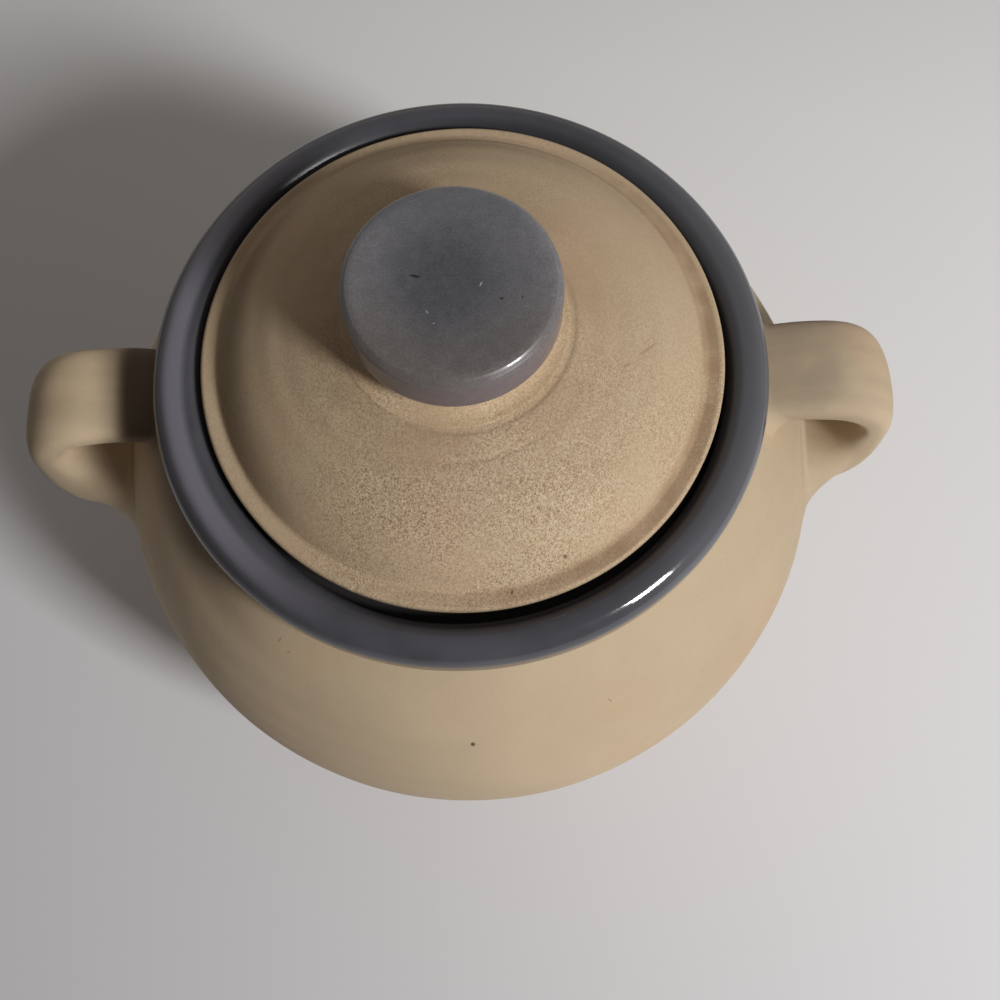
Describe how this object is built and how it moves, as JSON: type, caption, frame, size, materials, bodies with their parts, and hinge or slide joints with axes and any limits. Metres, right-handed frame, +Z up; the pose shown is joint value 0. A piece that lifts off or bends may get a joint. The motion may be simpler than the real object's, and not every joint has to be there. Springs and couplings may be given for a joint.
{
  "type": "lidded crock jar",
  "caption": "Round-bellied stoneware crock with a rolled grey-glazed rim, strap handles and a loose domed lid with a disc knob, for keeping and serving food.",
  "frame": {"origin": "centre of the foot, on the surface that the pot stands on", "axes": "+Z up along the pot's axis, +X out through the right handle, -Y towards the front"},
  "size_m": [0.182, 0.163, 0.1562],
  "materials": {
    "buff_clay": "bare buff stoneware, smooth and matt",
    "handle_clay": "bare buff stoneware, wiped smooth and matt",
    "lid_clay": "bare buff stoneware with a fine sandy grain",
    "grey_glaze": "glossy blue-grey glaze",
    "knob_glaze": "satin to glossy grey glaze with pinholes",
    "liner_glaze": "glossy grey glaze"
  },
  "bodies": {
    "pot": {"pot_body": "buff_clay", "rim_glaze": "grey_glaze", "liner_glaze": "liner_glaze", "handle_left": "handle_clay", "handle_right": "handle_clay"},
    "lid": {"lid_body": "lid_clay", "lid_liner_glaze": "liner_glaze", "knob": "lid_clay", "knob_glaze": "knob_glaze"}
  },
  "joints": [
    {"name": "lid_lift", "type": "slide", "parent": "pot", "child": "lid", "axis": [0, 0, 1], "range_m": [0, 0.06]}
  ]
}
